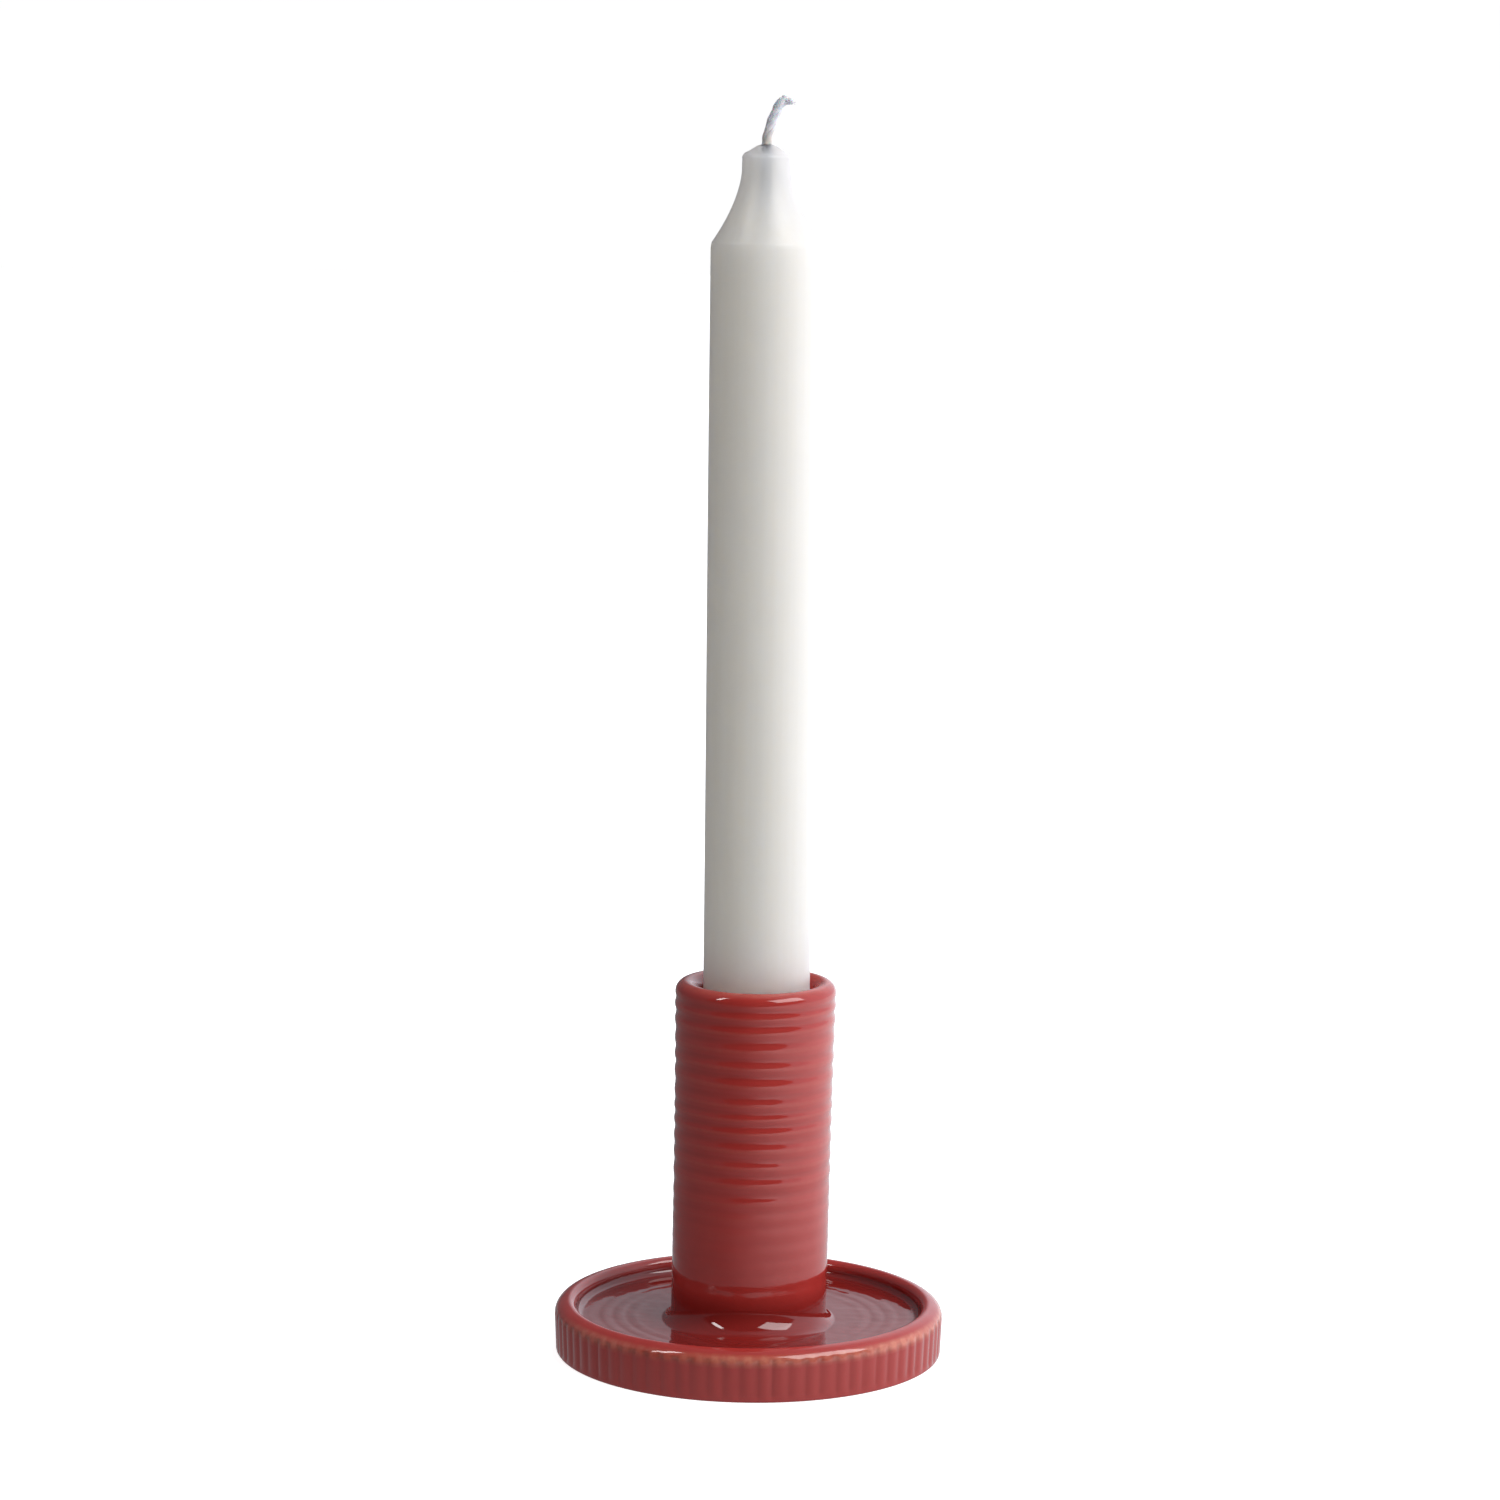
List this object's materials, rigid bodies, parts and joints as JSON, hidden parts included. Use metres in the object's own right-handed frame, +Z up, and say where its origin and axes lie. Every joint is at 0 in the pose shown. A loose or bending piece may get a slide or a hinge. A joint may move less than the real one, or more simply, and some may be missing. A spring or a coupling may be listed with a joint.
{
  "type": "candle holder",
  "caption": "Glazed ceramic candlestick: a ribbed tubular socket on a fluted round drip saucer, holding a tall shouldered dinner candle that lifts out.",
  "frame": {"origin": "on the table under the middle of the saucer", "axes": "+Z up along the stem and the candle, +X the side that the wick leans to, -Y the front"},
  "size_m": [0.0804, 0.0804, 0.2582],
  "materials": {
    "glaze": "gloss brick-red glaze, paler where it thins on edges",
    "wax": "satin ivory candle wax, slightly translucent",
    "cotton": "unburnt braided white cotton"
  },
  "bodies": {
    "holder": {"saucer": "glaze", "stem": "glaze", "slip_coil": "glaze"},
    "candle": {"candle_wax": "wax", "wick": "cotton"}
  },
  "joints": [
    {"name": "candle_lift", "type": "slide", "parent": "holder", "child": "candle", "axis": [0, 0, 1], "range_m": [0, 0.035]}
  ]
}
